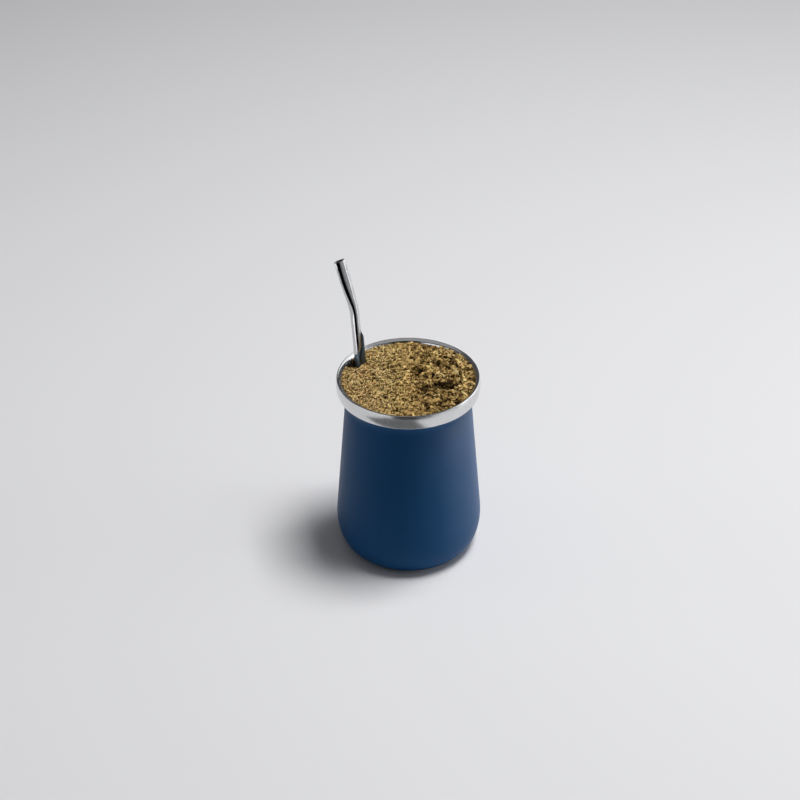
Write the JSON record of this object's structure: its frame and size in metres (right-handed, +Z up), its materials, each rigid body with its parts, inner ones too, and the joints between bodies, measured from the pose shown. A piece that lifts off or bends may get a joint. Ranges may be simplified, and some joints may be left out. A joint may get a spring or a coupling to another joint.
{
  "type": "mate gourd drink",
  "caption": "Coated steel cup with a tapered body, full belly and bare steel lip, filled to the brim with yerba mate, with a bent steel straw standing in the leaf.",
  "frame": {"origin": "middle of the cup's foot, on the surface that it stands on", "axes": "+Z up, -Y towards the viewer, +X to the viewer's right; the straw stands at the back left"},
  "size_m": [0.0786, 0.0786, 0.1596],
  "materials": {
    "coating": "soft matt navy powder coat",
    "steel": "satin steel, brushed round the cup",
    "straw_steel": "polished steel",
    "yerba": "dry crumbled leaf and bits of stalk"
  },
  "bodies": {
    "root": {"cup_body": "coating", "steel_liner": "steel", "straw": "straw_steel", "yerba": "yerba"}
  },
  "joints": []
}
